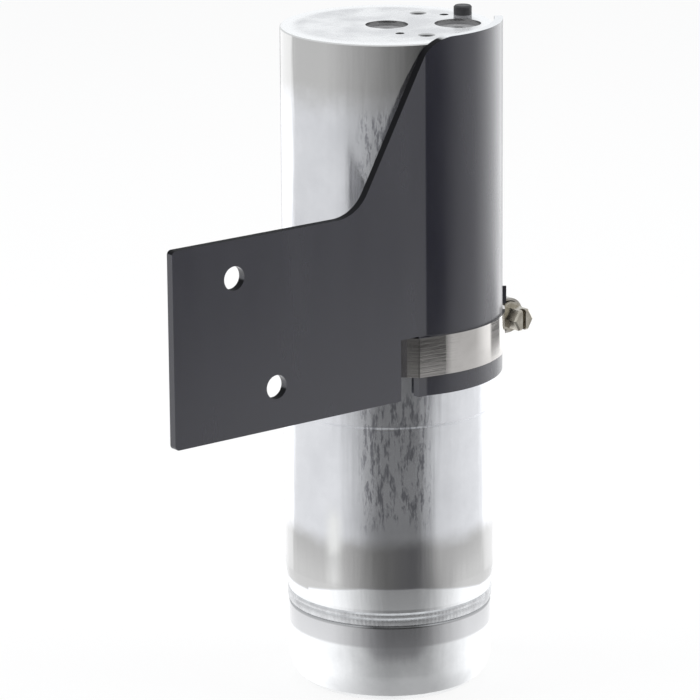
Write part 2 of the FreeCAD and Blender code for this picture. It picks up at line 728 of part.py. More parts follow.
def make_clamp_plate():
    """Curved plate between the band's two ends, locked between the housing's feet."""
    body = new_body("clamp_plate")
    turn_to_clamp(body)
    half = f"({cell('band_width')} / 2 + {cell('housing_clearance')})"
    low = f"({cell('band_height')} - {half})"
    high = f"({cell('band_height')} + {half})"
    section = new_sketch(body, "clamp_plate_section", "XZ_Plane")
    closed_outline(section, [
        (CLAMP_PLATE_INNER, low), (BAND_UPPER, low), (BAND_UPPER, high), (CLAMP_PLATE_INNER, high),
    ])
    feature = revolve(body, section)
    feature.Midplane = True
    feature.setExpression("Angle", cell("clamp_plate_angle"))
    return body


def make_screw():
    """Worm with a neck, a collar and a slotted hexagon head, its axis along Y."""
    body = new_body("clamp_screw")
    turn_to_clamp(body)
    axis = WORM_AXIS
    middle = cell("band_height")
    pitch = cell("worm_pitch")
    half_worm = f"({cell('worm_turns')} * {pitch} / 2)"
    core = cell("worm_core")
    collar_back = f"(-{cell('housing_front')} - {cell('collar_gap')})"
    collar_front = f"({collar_back} - {cell('collar_thickness')})"
    face = f"({collar_front} - {cell('hexagon_height')})"
    worm_end = f"({half_worm} + {cell('worm_foot')} / 2)"
    neck_start = f"(-{half_worm} - {cell('worm_foot')} / 2)"

    def off_axis(radius):
        return f"({axis} - {radius})"

    section = new_sketch(body, "screw_section", "XY_Plane", middle)
    closed_outline(section, [
        (axis, worm_end),
        (off_axis(core), worm_end),
        (off_axis(core), neck_start),
        (off_axis(cell("neck_core")), neck_start),
        (off_axis(cell("neck_core")), collar_back),
        (off_axis(cell("collar_radius")), collar_back),
        (off_axis(cell("collar_radius")), collar_front),
        (axis, collar_front),
    ])
    drawn_axis(section, axis)
    shaft = body.newObject("PartDesign::Revolution", "screw_shaft")
    shaft.Profile = section
    shaft.ReferenceAxis = (section, ["Axis0"])
    shaft.Angle = 360

    hexagon = new_sketch(body, "hexagon", "XZ_Plane", f"(-{collar_front})")
    corner = f"({cell('hexagon_flats')} / sqrt(3))"
    closed_outline(hexagon, [
        (f"{axis} + {corner} * cos({60 * k})", f"{middle} + {corner} * sin({60 * k})")
        for k in range(6)
    ])
    head = pad(body, hexagon, cell("hexagon_height"), "hexagon_head")
    doc.recompute()
    front = number(face)
    rim = [
        f"Edge{index}"
        for index, edge in enumerate(head.Shape.Edges, start=1)
        if edge.BoundBox.YLength < SAME_LENGTH
        and abs(edge.CenterOfMass.y - front) < SAME_LENGTH
    ]
    chamfer = body.newObject("PartDesign::Chamfer", "hexagon_chamfer")
    chamfer.Base = (head, rim)
    chamfer.setExpression("Size", cell("hexagon_chamfer"))
    slot = new_sketch(body, "driver_slot", "XZ_Plane", f"(-{face})")
    half = f"({cell('driver_slot_width')} / 2)"
    closed_outline(slot, [
        (f"{axis} - {half}", f"{middle} - {corner}"),
        (f"{axis} + {half}", f"{middle} - {corner}"),
        (f"{axis} + {half}", f"{middle} + {corner}"),
        (f"{axis} - {half}", f"{middle} + {corner}"),
    ])
    pocket(body, slot, cell("driver_slot_depth"), "driver_slot_cut")

    thread = new_sketch(body, "thread_section", "XY_Plane", middle)
    foot = f"({off_axis(core)} + {cell('worm_foot')} / 4)"
    crest = off_axis(cell("worm_radius"))
    start = f"(-{half_worm})"
    closed_outline(thread, [
        (foot, f"{start} + {cell('worm_foot')} / 2"),
        (crest, f"{start} + {cell('worm_crest')} / 2"),
        (crest, f"{start} - {cell('worm_crest')} / 2"),
        (foot, f"{start} - {cell('worm_foot')} / 2"),
    ])
    drawn_axis(thread, axis)
    worm = body.newObject("PartDesign::AdditiveHelix", "worm")
    worm.Profile = thread
    worm.ReferenceAxis = (thread, ["Axis0"])
    worm.Mode = "pitch-turns-angle"
    worm.setExpression("Pitch", pitch)
    worm.setExpression("Turns", cell("worm_turns"))
    return body


# Inside: tube, strainer and the spring-loaded desiccant pack

def make_tube():
    """Dip tube from the head's socket down into the strainer, grooved for its O-ring."""
    outer = cell("tube_radius")
    bore = cell("tube_bore")
    floor = f"({outer} - {cell('ring_groove_depth')})"
    ring = f"({TUBE_TOP} - {cell('ring_groove_drop')})"
    half = f"({cell('ring_groove_width')} / 2)"
    return turned_piece("dip_tube", [
        (bore, cell("tube_foot")),
        (outer, cell("tube_foot")),
        (outer, f"{ring} - {half}"),
        (floor, f"{ring} - {half}"),
        (floor, f"{ring} + {half}"),
        (outer, f"{ring} + {half}"),
        (outer, TUBE_TOP),
        (bore, TUBE_TOP),
    ])


def make_tube_ring():
    """O-ring that fills the height of the gap between its groove and the socket."""
    ring = doc.addObject("Part::Torus", "dip_tube_o_ring")
    ring.Label = "dip_tube_o_ring"
    floor = f"({cell('tube_radius')} - {cell('ring_groove_depth')})"
    ring.setExpression("Radius1", f"({TUBE_SOCKET_RADIUS} + {floor}) / 2")
    ring.setExpression("Radius2", f"({TUBE_SOCKET_RADIUS} - {floor}) / 2")
    ring.setExpression("Placement.Base.z", f"{TUBE_TOP} - {cell('ring_groove_drop')}")
    return ring


def make_strainer():
    """Cage that stands on the cap's floor and holds the tube's foot in its upper ring."""
    outer = cell("strainer_radius")
    inside = f"({cell('tube_radius')} + {cell('tube_fit')})"
    floor = cell("cap_wall")
    ring = cell("strainer_ring")
    top = f"({floor} + {cell('strainer_height')})"
    body = turned_piece("strainer_frame", [
        ("0", floor),
        (outer, floor),
        (outer, f"{floor} + {ring}"),
        ("0", f"{floor} + {ring}"),
    ])
    upper = new_sketch(body, "upper_ring", "XY_Plane", f"({top} - {ring})")
    circle(upper, "0", "0", outer)
    circle(upper, "0", "0", inside)
    pad(body, upper, ring, "upper_ring_pad")
    post = new_sketch(body, "post", "XY_Plane", f"({floor} + {ring})")
    half = f"({cell('strainer_post')} / 2)"
    mesh_seat = f"({outer} - {cell('mesh_thickness')})"
    root = f"({mesh_seat} - {cell('strainer_post')})"
    closed_outline(post, [
        (root, f"-{half}"),
        (f"sqrt({mesh_seat} * {mesh_seat} - {half} * {half})", f"-{half}"),
        (f"sqrt({mesh_seat} * {mesh_seat} - {half} * {half})", half),
        (root, half),
    ])
    first = pad(body, post, f"{cell('strainer_height')} - 2 * {ring}", "post_pad")
    posts = body.newObject("PartDesign::PolarPattern", "posts")
    posts.Originals = [first]
    posts.Axis = (origin_feature(body, "Z_Axis"), [""])
    posts.Angle = 360
    posts.setExpression("Occurrences", cell("strainer_posts"))
    body.Tip = posts
    return body


def make_mesh():
    outer = cell("strainer_radius")
    inner = f"({outer} - {cell('mesh_thickness')})"
    low = f"({cell('cap_wall')} + {cell('strainer_ring')})"
    high = f"({cell('cap_wall')} + {cell('strainer_height')} - {cell('strainer_ring')})"
    return turned_piece("strainer_mesh", [
        (inner, low), (outer, low), (outer, high), (inner, high),
    ])


def disc(name, base, thickness):
    """A disc of the pack: it fills the can and lets the dip tube through."""
    top = f"({base} + {thickness})"
    return turned_piece(name, [
        (TUBE_SOCKET_RADIUS, base), (PACK_RADIUS, base), (PACK_RADIUS, top),
        (TUBE_SOCKET_RADIUS, top),
    ])


def make_retainer(name, base):
    """A perforated disc, its holes in rings about the tube."""
    thickness = cell("retainer_thickness")
    body = disc(name, base, thickness)
    for ring in range(int(size("perforation_rings"))):
        hole = new_sketch(body, f"{name}_ring_{ring}", "XY_Plane", f"({base} + {thickness})")
        radius = f"({cell('perforation_first')} + {ring} * {cell('perforation_step')})"
        circle(hole, radius, "0", cell("perforation_radius"))
        first = pocket(body, hole, thickness, f"{name}_hole_{ring}")
        doc.recompute()
        pattern = body.newObject("PartDesign::PolarPattern", f"{name}_holes_{ring}")
        pattern.Originals = [first]
        pattern.Axis = (origin_feature(body, "Z_Axis"), [""])
        pattern.Angle = 360
        pattern.setExpression(
            "Occurrences", f"{ring + 1} * {cell('perforation_share')}"
        )
        body.Tip = pattern
    return body


def make_spring(base, top):
    """Open coil spring between the pack and the head."""
    wire = cell("spring_wire")
    turns = cell("spring_turns")
    mean = cell("spring_radius")
    height = f"({top} - {base} - 2 * {wire})"
    coil = doc.addObject("Part::Helix", "spring_coil")
    coil.SegmentLength = SPRING_SEGMENT
    coil.setExpression("Pitch", f"{height} / {turns}")
    coil.setExpression("Height", height)
    coil.setExpression("Radius", mean)
    coil.setExpression("Placement.Base.z", f"{base} + {wire}")
    section = doc.addObject("Part::Circle", "spring_section")
    section.Placement = FreeCAD.Placement(
        FreeCAD.Vector(0, 0, 0), FreeCAD.Rotation(FreeCAD.Vector(1, 0, 0), -90)
    )
    section.setExpression("Radius", wire)
    section.setExpression("Placement.Base.x", mean)
    section.setExpression("Placement.Base.z", f"{base} + {wire}")
    section.setExpression(
        "Placement.Rotation.Angle", f"atan({height} / (2 * pi * {mean} * {turns})) - 90 deg"
    )
    spring = doc.addObject("Part::Sweep", "pack_spring")
    spring.Label = "pack_spring"
    spring.Sections = [section]
    spring.Spine = (coil, [])
    spring.Solid = True
    spring.Frenet = True
    return spring


def make_pack():
    """Spring, perforated disc, felt, desiccant, felt and perforated disc, from top to bottom."""
    lower_pad = f"({PACK_BASE} + {cell('retainer_thickness')})"
    bed = f"({lower_pad} + {cell('pad_thickness')})"
    upper_pad = f"({bed} + {cell('bed_height')})"
    upper_plate = f"({upper_pad} + {cell('pad_thickness')})"
    spring_base = f"({upper_plate} + {cell('retainer_thickness')})"
    return [
        make_retainer("lower_retainer_plate", PACK_BASE),
        disc("lower_filter_pad", lower_pad, cell("pad_thickness")),
        disc("desiccant_bed", bed, cell("bed_height")),
        disc("upper_filter_pad", upper_pad, cell("pad_thickness")),
        make_retainer("upper_retainer_plate", upper_plate),
        make_spring(spring_base, HEAD_UNDER),
    ]


pieces = [
    make_can(),
    make_cap(),
    make_weld(),
    make_peg(),
    make_bracket(),
    make_band(),
    make_housing(),
    make_clamp_plate(),
    make_screw(),
    make_tube(),
    make_tube_ring(),
    make_strainer(),
    make_mesh(),
    *make_pack(),
]
doc.recompute()

# Nothing is written unless every object of the document is sound
for item in doc.Objects:
    if "Invalid" in item.State or "Error" in item.State:
        raise RuntimeError(f"{item.Name} failed: {item.State}")
for piece in pieces:
    if piece.Shape.isNull() or not piece.Shape.isValid():
        raise RuntimeError(f"{piece.Label} has no valid shape")

os.makedirs("parts", exist_ok=True)
for piece in pieces:
    piece.Shape.exportStep(f"parts/{piece.Label}.step")
    print(piece.Label, len(piece.Shape.Solids), "solid", round(piece.Shape.Volume, 1))
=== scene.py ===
"""Looks of the receiver drier: materials, floor, studio light and camera round the model."""

import math

import bpy
from mathutils import Matrix, Vector


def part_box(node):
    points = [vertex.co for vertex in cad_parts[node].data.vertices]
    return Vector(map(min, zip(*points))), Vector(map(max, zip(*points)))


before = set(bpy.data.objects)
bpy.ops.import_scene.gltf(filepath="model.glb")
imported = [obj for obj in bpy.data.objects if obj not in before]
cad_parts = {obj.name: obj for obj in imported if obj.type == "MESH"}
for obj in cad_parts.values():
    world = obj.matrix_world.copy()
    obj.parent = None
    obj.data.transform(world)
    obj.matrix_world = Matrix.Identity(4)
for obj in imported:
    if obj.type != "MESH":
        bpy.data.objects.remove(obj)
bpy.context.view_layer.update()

MM = 0.001

# Camera that the photograph was taken with, fitted to the can and the bracket
CAMERA_AZIMUTH = math.radians(-37.875)
CAMERA_ELEVATION = math.radians(15.191)
CAMERA_ROLL = math.radians(0.434)
CAMERA_DISTANCE = 1.5759
CAMERA_AIM_RIGHT = -0.01387
CAMERA_AIM_HEIGHT = 0.12419
CAMERA_LENS = 224.6
CAMERA_SENSOR = 36.0

# Directions of the photograph: straight to the camera, to its right, and level to the front
TO_CAMERA = Vector((
    math.sin(CAMERA_AZIMUTH) * math.cos(CAMERA_ELEVATION),
    -math.cos(CAMERA_AZIMUTH) * math.cos(CAMERA_ELEVATION),
    math.sin(CAMERA_ELEVATION),
))
RIGHT = Vector((math.cos(CAMERA_AZIMUTH), math.sin(CAMERA_AZIMUTH), 0.0))
FRONT = Vector((TO_CAMERA.x, TO_CAMERA.y, 0.0)).normalized()

# Sizes of the can, read from the frame
CAN_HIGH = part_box("canister_body")[1]
CAN_TOP = CAN_HIGH.z
CAN_RADIUS = CAN_HIGH.x
WELD_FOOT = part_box("weld_bead")[0].z


class Shader:
    """A node tree under construction, with short calls for the nodes used here."""

    def __init__(self, name, kind="Material"):
        owners = {"Material": bpy.data.materials, "World": bpy.data.worlds}
        self.owner = owners[kind].new(name)
        self.owner.use_nodes = True
        self.tree = self.owner.node_tree
        self.tree.nodes.clear()
        self.output = self.node("ShaderNodeOutput" + kind)

    def node(self, kind, **settings):
        node = self.tree.nodes.new(kind)
        for key, value in settings.items():
            setattr(node, key, value)
        return node

    def link(self, source, target):
        self.tree.links.new(source, target)

    def feed(self, socket, value):
        """Link an output, or set a plain number, vector or colour."""
        if isinstance(value, bpy.types.NodeSocket):
            self.link(value, socket)
        elif socket.type == "RGBA":
            socket.default_value = (*value, 1.0)
        else:
            socket.default_value = value

    def position(self):
        return self.node("ShaderNodeTexCoord").outputs["Object"]

    def upward(self):
        """How far the surface faces up: 1 on a level face, 0 on an upright wall."""
        return self.split(self.node("ShaderNodeNewGeometry").outputs["Normal"])[2]

    def split(self, vector):
        node = self.node("ShaderNodeSeparateXYZ")
        self.feed(node.inputs[0], vector)
        return node.outputs

    def scaled(self, vector, x, y, z):
        node = self.node("ShaderNodeVectorMath", operation="MULTIPLY")
        self.feed(node.inputs[0], vector)
        self.feed(node.inputs[1], (x, y, z))
        return node.outputs[0]

    def along(self, vector, direction):
        """The part of a vector that lies along a direction."""
        node = self.node("ShaderNodeVectorMath", operation="DOT_PRODUCT")
        self.feed(node.inputs[0], vector)
        self.feed(node.inputs[1], direction)
        return node.outputs["Value"]

    def math(self, operation, a, b=0.0):
        node = self.node("ShaderNodeMath", operation=operation)
        self.feed(node.inputs[0], a)
        self.feed(node.inputs[1], b)
        return node.outputs[0]

    def plus(self, a, b):
        return self.math("ADD", a, b)

    def minus(self, a, b):
        return self.math("SUBTRACT", a, b)

    def times(self, a, b):
        return self.math("MULTIPLY", a, b)

    def larger(self, a, b):
        return self.math("MAXIMUM", a, b)

    def length(self, a, b):
        """The length of the vector with these two components."""
        return self.math("SQRT", self.plus(self.times(a, a), self.times(b, b)))

    def noise(self, vector, scale=1.0, detail=3.0, roughness=0.5, distortion=0.0):
        node = self.node("ShaderNodeTexNoise")
        self.feed(node.inputs["Vector"], vector)
        self.feed(node.inputs["Scale"], scale)
        self.feed(node.inputs["Detail"], detail)
        self.feed(node.inputs["Roughness"], roughness)
        self.feed(node.inputs["Distortion"], distortion)
        return node.outputs["Fac"]

    def spread(self, value, low, high, to_low, to_high, smooth=False):
        """Map low..high to to_low..to_high, held at the ends."""
        node = self.node("ShaderNodeMapRange", clamp=True)
        node.interpolation_type = "SMOOTHSTEP" if smooth else "LINEAR"
        self.feed(node.inputs["Value"], value)
        self.feed(node.inputs["From Min"], low)
        self.feed(node.inputs["From Max"], high)
        self.feed(node.inputs["To Min"], to_low)
        self.feed(node.inputs["To Max"], to_high)
        return node.outputs["Result"]

    def rise(self, value, low, high, smooth=False):
        """0 up to low, 1 from high on."""
        return self.spread(value, low, high, 0.0, 1.0, smooth)

    def fall(self, value, low, high, smooth=False):
        """1 up to low, 0 from high on."""
        return self.spread(value, low, high, 1.0, 0.0, smooth)

    def zone(self, value, low, high, edge):
        """1 between low and high, 0 outside, with soft edges."""
        return self.times(
            self.rise(value, low - edge, low + edge, smooth=True),
            self.fall(value, high - edge, high + edge, smooth=True),
        )

    def between(self, mask, outside, inside):
        """One number where the mask is 0, another where it is 1."""
        return self.spread(mask, 0.0, 1.0, outside, inside)

    def mix(self, mask, first, second):
        """One colour where the mask is 0, another where it is 1."""
        node = self.node("ShaderNodeMix", data_type="RGBA")
        self.feed(node.inputs["Factor"], mask)
        self.feed(node.inputs[6], first)
        self.feed(node.inputs[7], second)
        return node.outputs[2]

    def painted(self, base, *layers):
        """Lay colours over a base, each given by its mask, the mask's share and the colour."""
        for mask, share, colour in layers:
            base = self.mix(self.times(mask, share), base, colour)
        return base

    def bump(self, height, distance, normal=None):
        node = self.node("ShaderNodeBump")
        self.feed(node.inputs["Distance"], distance)
        self.feed(node.inputs["Height"], height)
        if normal is not None:
            self.feed(node.inputs["Normal"], normal)
        return node.outputs[0]

    def shown(self, closure):
        """Show a shader on the surface, and hand back the finished material or world."""
        self.link(closure, self.output.inputs["Surface"])
        return self.owner

    def surface(self, **values):
        """The surface shader, its sockets named with underscores for spaces."""
        shader = self.node("ShaderNodeBsdfPrincipled")
        for key, value in values.items():
            self.feed(shader.inputs[key.replace("_", " ")], value)
        return self.shown(shader.outputs[0])


def sector(start, end):
    """A stretch of angles round the can, given in degrees."""
    return math.radians(start), math.radians(end)


def around(shader, vector, fineness, stretch):
    """Coordinates for a pattern that is fine round the can and stretched out along it."""
    return shader.scaled(vector, fineness, fineness, fineness / stretch)


# Metal of the can, its zones by height above the part's foot and by angle round the axis

HEAD_FADE = (CAN_TOP - 29 * MM, CAN_TOP - 15 * MM)
MATTE_LOW = 45.6 * MM
MATTE_HIGH = 62.4 * MM
MATTE_MIDDLE = math.radians(-127.9)
MATTE_SAG = 4.5 * MM
SHADED_SECTOR = sector(-124, -109)
# Painted highlight: a bright patch low on the left of the side facing the camera
HIGHLIGHT_SECTOR = sector(-164, -156)
HIGHLIGHT_HEIGHT = (57 * MM, 73 * MM)
FAINT_HIGHLIGHT_HEIGHT = (47 * MM, 60 * MM)
# Painted reflection: dark streaks on the side facing the camera, at two heights
REFLECTION_STREAK_SECTOR = sector(-143, -106)
UPPER_REFLECTION_STREAKS = (190 * MM, 219 * MM)
LOWER_REFLECTION_STREAKS = (70 * MM, 117 * MM)
RING_LINE = (105.15 * MM, 105.85 * MM)
TURNING_PITCH = 0.42 * MM


def hole_shade_masks(s, z, radius):
    """Masks for painted shade: 1 in the holes of the head, and 1 in their bores, below the edges.
    """
    below_top = s.fall(z, CAN_TOP - 0.2 * MM, CAN_TOP - 0.02 * MM)
    in_head = s.rise(z, CAN_TOP - 40 * MM, CAN_TOP - 30 * MM)
    inside = s.fall(radius, CAN_RADIUS - 1.0 * MM, CAN_RADIUS - 0.6 * MM)
    hole_shade = s.times(s.times(below_top, in_head), inside)
    bore_shade = s.times(hole_shade, s.fall(z, CAN_TOP - 1.5 * MM, CAN_TOP - 0.7 * MM))
    return hole_shade, bore_shade


def can_metal():
    """Extruded aluminium with streaks, a dull head and a matte zone near its foot, with dark
    streaks of painted reflection, painted highlights, and painted shade in the holes and in the
    matte zone.
    """
    s = Shader("can_metal")
    place = s.position()
    x, y, z = s.split(place)
    radius = s.length(x, y)
    angle = s.math("ARCTAN2", y, x)
    top_face = s.rise(s.upward(), 0.8, 0.95)
    # painted shade in the holes of the head, darkest in their bores, which are also made not
    # metallic
    hole_shade, bore_shade = hole_shade_masks(s, z, radius)
    streaks = s.noise(around(s, place, 900, 28), detail=4, roughness=0.62)
    waves = s.noise(around(s, place, 170, 9), detail=2)
    dabs = s.noise(around(s, place, 600, 4.5), detail=3, roughness=0.75)
    grain = s.noise(place, scale=2600, detail=2)
    cloud = s.noise(place, scale=55, detail=4, roughness=0.6)

    # zones by a height that wanders, so that they end raggedly
    shifted = s.plus(z, s.times(s.minus(cloud, 0.5), 9 * MM))
    head_zone = s.rise(shifted, *HEAD_FADE, smooth=True)
    # painted highlight: a bright patch low on the left of the side facing the camera
    highlight_height = s.larger(
        s.zone(shifted, *HIGHLIGHT_HEIGHT, 5 * MM),
        s.times(s.zone(shifted, *FAINT_HIGHLIGHT_HEIGHT, 3 * MM), 0.45),
    )
    painted_highlight = s.times(s.zone(angle, *HIGHLIGHT_SECTOR, math.radians(4)), highlight_height)
    # painted reflection: dark streaks on the side facing the camera
    reflection_streak_height = s.larger(
        s.zone(shifted, *UPPER_REFLECTION_STREAKS, 4 * MM), s.zone(shifted, *LOWER_REFLECTION_STREAKS, 5 * MM)
    )
    reflection_streak_zone = s.times(reflection_streak_height, s.zone(angle, *REFLECTION_STREAK_SECTOR, math.radians(4)))
    painted_reflection_streaks = s.times(s.rise(dabs, 0.49, 0.61), reflection_streak_zone)

    # the matte zone starts lower at the sides and fades out at its top
    aside = s.math("ABSOLUTE", s.minus(angle, MATTE_MIDDLE))
    sunk = s.plus(z, s.spread(aside, *sector(15, 60), 0.0, MATTE_SAG))
    taper_zone = s.fall(sunk, MATTE_LOW - 0.5 * MM, MATTE_LOW)
    matte_zone = s.times(
        s.rise(sunk, MATTE_LOW - 0.5 * MM, MATTE_LOW + 0.5 * MM),
        s.fall(shifted, MATTE_HIGH - 4 * MM, MATTE_HIGH + 4 * MM, smooth=True),
    )
    shaded = s.times(matte_zone, s.zone(angle, *SHADED_SECTOR, math.radians(9)))

    # painted highlight: the outer ring of the top face is painted bright round the rim, and the
    # inner top is blotchy and darker
    outer_top = s.rise(radius, CAN_RADIUS - 7 * MM, CAN_RADIUS - 3 * MM, smooth=True)
    blotchy_top = s.mix(s.rise(cloud, 0.38, 0.6), (0.66, 0.66, 0.67), (0.88, 0.88, 0.88))
    base = s.painted(
        s.mix(s.rise(cloud, 0.35, 0.68), (0.89, 0.90, 0.93), (0.81, 0.82, 0.85)),
        (painted_reflection_streaks, 0.85, (0.32, 0.325, 0.36)),
        (head_zone, 0.85, (0.60, 0.595, 0.58)),
        (matte_zone, 0.9, (0.52, 0.515, 0.505)),
        (shaded, 0.5, (0.28, 0.28, 0.32)),
        (taper_zone, 1.0, (0.94, 0.95, 0.96)),
        (painted_highlight, 0.9, (0.97, 0.975, 0.96)),
        (top_face, 1.0, s.mix(outer_top, blotchy_top, (0.98, 0.98, 0.98))),
        (hole_shade, 0.8, (0.37, 0.37, 0.37)),
        (bore_shade, 1.0, (0.28, 0.28, 0.285)),
    )
    roughness = s.spread(streaks, 0.3, 0.7, 0.09, 0.20)
    roughness = s.plus(roughness, s.times(top_face, 0.12))
    roughness = s.plus(roughness, s.times(s.zone(z, *RING_LINE, 0.2 * MM), 0.3))

    # turning rings on the machined top, centred on the can's axis
    rings = s.math("SINE", s.times(radius, 2 * math.pi / TURNING_PITCH))
    wall = s.minus(1.0, top_face)
    height = s.times(s.times(waves, wall), 0.55)
    height = s.plus(height, s.times(s.times(streaks, wall), 0.05))
    height = s.plus(height, s.times(s.times(rings, top_face), 0.012))
    return s.surface(
        Base_Color=base, Metallic=s.minus(1.0, bore_shade), Roughness=roughness,
        Specular_IOR_Level=0.1, Normal=s.bump(grain, 0.006 * MM, s.bump(height, 0.35 * MM)),
    )


# Metal of the cap and of the seam above it

SHOULDER = (22.6 * MM, 23.6 * MM)
# Painted reflection on the cap: a dark patch on the side facing the camera, running down from the
# seam
CAP_REFLECTION_SECTOR = sector(-141, -109)
CAP_REFLECTION_HEIGHT = (20.5 * MM, 26.0 * MM)
CAP_REFLECTION_SAG = 4.5 * MM
GROOVE = (WELD_FOOT - 1.0 * MM, WELD_FOOT - 0.6 * MM)
SEAM_RIPPLES = 150.0
SEAM_LEAN = 260.0


def cap_metal():
    """Drawn aluminium, duller on its shoulder, with a painted dark reflection on the side facing
    the camera and painted shade in the groove under the seam.
    """
    s = Shader("cap_metal")
    place = s.position()
    x, y, z = s.split(place)
    angle = s.math("ARCTAN2", y, x)
    streaks = s.noise(around(s, place, 800, 20), detail=4, roughness=0.6)
    waves = s.noise(around(s, place, 150, 5), detail=2)
    blotches = s.noise(place, scale=60, detail=4, roughness=0.65)

    # a painted dark reflection runs down from the seam on the side facing the camera, and the
    # painted shade in the groove is darkest there
    camera_side = s.zone(angle, *CAP_REFLECTION_SECTOR, math.radians(7))
    sunk = s.plus(z, s.times(camera_side, CAP_REFLECTION_SAG))
    ragged = s.plus(sunk, s.times(s.minus(streaks, 0.5), 3 * MM))
    painted_reflection = s.times(s.rise(ragged, *CAP_REFLECTION_HEIGHT, smooth=True), camera_side)
    # painted shade in the groove under the seam, strongest on the side facing the camera
    groove = s.times(s.rise(z, *GROOVE), s.between(camera_side, 0.4, 0.95))

    base = s.painted(
        s.mix(s.rise(blotches, 0.4, 0.65), (0.93, 0.94, 0.95), (0.84, 0.85, 0.86)),
        (s.rise(z, *SHOULDER), 0.85, (0.58, 0.58, 0.59)),
        (painted_reflection, 0.75, (0.50, 0.50, 0.52)),
        (groove, 1.0, (0.1, 0.1, 0.1)),
    )
    height = s.plus(s.times(waves, 0.5), s.times(streaks, 0.05))
    return s.surface(
        Base_Color=base, Metallic=1.0, Roughness=s.spread(streaks, 0.3, 0.7, 0.09, 0.20),
        Normal=s.bump(height, 0.3 * MM),
    )


def weld_metal():
    """Ripples of the weld pool follow each other round the seam."""
    s = Shader("weld_metal")
    place = s.position()
    x, y, z = s.split(place)
    lean = s.times(z, SEAM_LEAN)
    wobble = s.times(s.noise(place, scale=120, detail=2), 2.5)
    phase = s.plus(s.times(s.math("ARCTAN2", y, x), SEAM_RIPPLES), s.plus(lean, wobble))
    ripple = s.times(s.math("SINE", phase), 0.5)
    soot = s.noise(place, scale=220, detail=4, roughness=0.7)
    return s.surface(
        Base_Color=s.mix(s.rise(soot, 0.35, 0.7), (0.66, 0.67, 0.68), (0.50, 0.50, 0.51)),
        Metallic=1.0, Roughness=s.spread(soot, 0.3, 0.7, 0.24, 0.4),
        Normal=s.bump(soot, 0.05 * MM, s.bump(ripple, 0.035 * MM)),
    )


def peg_plastic():
    """Black moulding with scuffs, its foot painted paler: a painted shadow, grey like the soft
    shadow round its base.
    """
    s = Shader("peg_plastic")
    place = s.position()
    grain = s.noise(place, scale=1800, detail=3)
    scuffs = s.noise(place, scale=350, detail=4, roughness=0.7)
    # painted shadow: the foot is painted grey like the soft shadow round the peg's base
    foot = s.fall(s.split(place)[2], CAN_TOP + 0.4 * MM, CAN_TOP + 0.8 * MM)
    base = s.painted(
        s.mix(s.rise(scuffs, 0.5, 0.75), (0.022, 0.022, 0.024), (0.05, 0.05, 0.052)),
        (foot, 0.7, (0.36, 0.36, 0.37)),
    )
    return s.surface(
        Base_Color=base, Roughness=s.spread(scuffs, 0.3, 0.7, 0.45, 0.6),
        Normal=s.bump(grain, 0.02 * MM),
    )


# Coated steel of the bracket

COATING_IOR = 1.62


def bracket_coating():
    """Satin black coating, dull on the sheared edges and worn bright on the saddle's top."""
    s = Shader("bracket_coating")
    place = s.position()
    upward = s.upward()
    orange_peel = s.noise(place, scale=900, detail=2)
    rolling = s.noise(s.scaled(place, 60, 60, 14), detail=4, roughness=0.6)
    dust = s.noise(place, scale=420, detail=5, roughness=0.75)
    sheared = s.rise(upward, 0.15, 0.35)
    saddle_top = s.times(
        s.rise(upward, 0.93, 0.99), s.rise(s.split(place)[2], CAN_TOP - 1 * MM, CAN_TOP)
    )
    base = s.painted(
        s.mix(s.rise(rolling, 0.3, 0.7), (0.003, 0.003, 0.013), (0.007, 0.007, 0.017)),
        (s.rise(dust, 0.62, 0.8), 0.4, (0.05, 0.05, 0.053)),
        (sheared, 1.0, (0.004, 0.004, 0.005)),
        (saddle_top, 1.0, (0.85, 0.86, 0.87)),
    )
    roughness = s.spread(rolling, 0.3, 0.7, 0.22, 0.29)
    roughness = s.plus(roughness, s.times(s.minus(sheared, saddle_top), 0.35))
    return s.surface(
        Base_Color=base, Roughness=roughness, Metallic=s.times(saddle_top, 0.9),
        Specular_IOR_Level=s.between(sheared, 0.95, 0.06), IOR=COATING_IOR,
        Sheen_Weight=s.between(sheared, 0.3, 0.0), Sheen_Roughness=0.2,
        Normal=s.bump(orange_peel, 0.008 * MM),
    )


# Stainless steel of the clamp

def band_steel():
    """Steel strip, brushed along its length."""
    s = Shader("band_steel")
    place = s.position()
    brushing = s.noise(s.scaled(place, 60, 60, 2600), detail=3, roughness=0.6)
    blotches = s.noise(place, scale=110, detail=3)
    return s.surface(
        Base_Color=s.mix(s.rise(blotches, 0.35, 0.7), (0.64, 0.62, 0.60), (0.57, 0.55, 0.53)),
        Metallic=1.0, Roughness=s.spread(brushing, 0.3, 0.7, 0.07, 0.14),
        Normal=s.bump(brushing, 0.008 * MM),
    )


def housing_steel():
    """Steel sheet, streaked by drawing."""
    s = Shader("housing_steel")
    place = s.position()
    drawing = s.noise(s.scaled(place, 900, 120, 900), detail=3, roughness=0.6)
    blotches = s.noise(place, scale=260, detail=3)
    return s.surface(
        Base_Color=s.mix(s.rise(blotches, 0.35, 0.7), (0.56, 0.54, 0.50), (0.36, 0.34, 0.31)),
        Metallic=1.0, Roughness=s.spread(drawing, 0.3, 0.7, 0.14, 0.26),
        Normal=s.bump(drawing, 0.02 * MM),
    )


def screw_steel():
    """Plated steel, a little yellow."""
    s = Shader("screw_steel")
    place = s.position()
    plating = s.noise(place, scale=700, detail=4, roughness=0.65)
    blotches = s.noise(place, scale=240, detail=3)
    return s.surface(
        Base_Color=s.mix(s.rise(blotches, 0.35, 0.7), (0.56, 0.53, 0.46), (0.34, 0.31, 0.26)),
        Metallic=1.0, Roughness=s.spread(plating, 0.3, 0.7, 0.16, 0.30),
        Normal=s.bump(plating, 0.02 * MM),
    )


